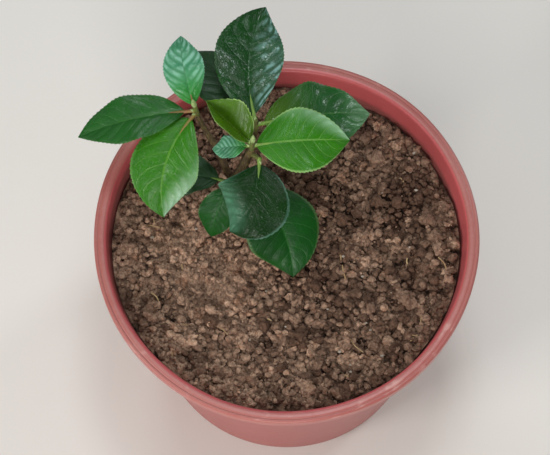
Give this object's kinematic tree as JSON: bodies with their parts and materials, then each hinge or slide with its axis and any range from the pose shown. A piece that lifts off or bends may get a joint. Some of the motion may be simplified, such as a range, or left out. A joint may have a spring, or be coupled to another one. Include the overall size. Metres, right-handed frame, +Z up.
{
  "type": "potted tea plant",
  "caption": "Young tea plant with glossy toothed leaves on a short forked stem, growing in soil in a round tapered plastic nursery pot.",
  "frame": {"origin": "middle of the pot's flat underside, on the level that the pot stands on", "axes": "+Z up along the pot's axis, -Y towards the side that the picture looks from, +X to that view's right"},
  "size_m": [0.1433, 0.1419, 0.1699],
  "materials": {
    "pot": "satin",
    "soil": "matte",
    "bark": "matte",
    "leaves": "satin"
  },
  "bodies": {
    "root": {"pot": "pot", "soil": "soil", "main_stem": "bark", "left_branch": "bark", "back_branch": "bark", "left_leaves": "leaves", "back_leaves": "leaves", "tip_leaves": "leaves", "front_leaves": "leaves", "low_right_leaves": "leaves", "low_left_leaves": "leaves"}
  },
  "joints": []
}
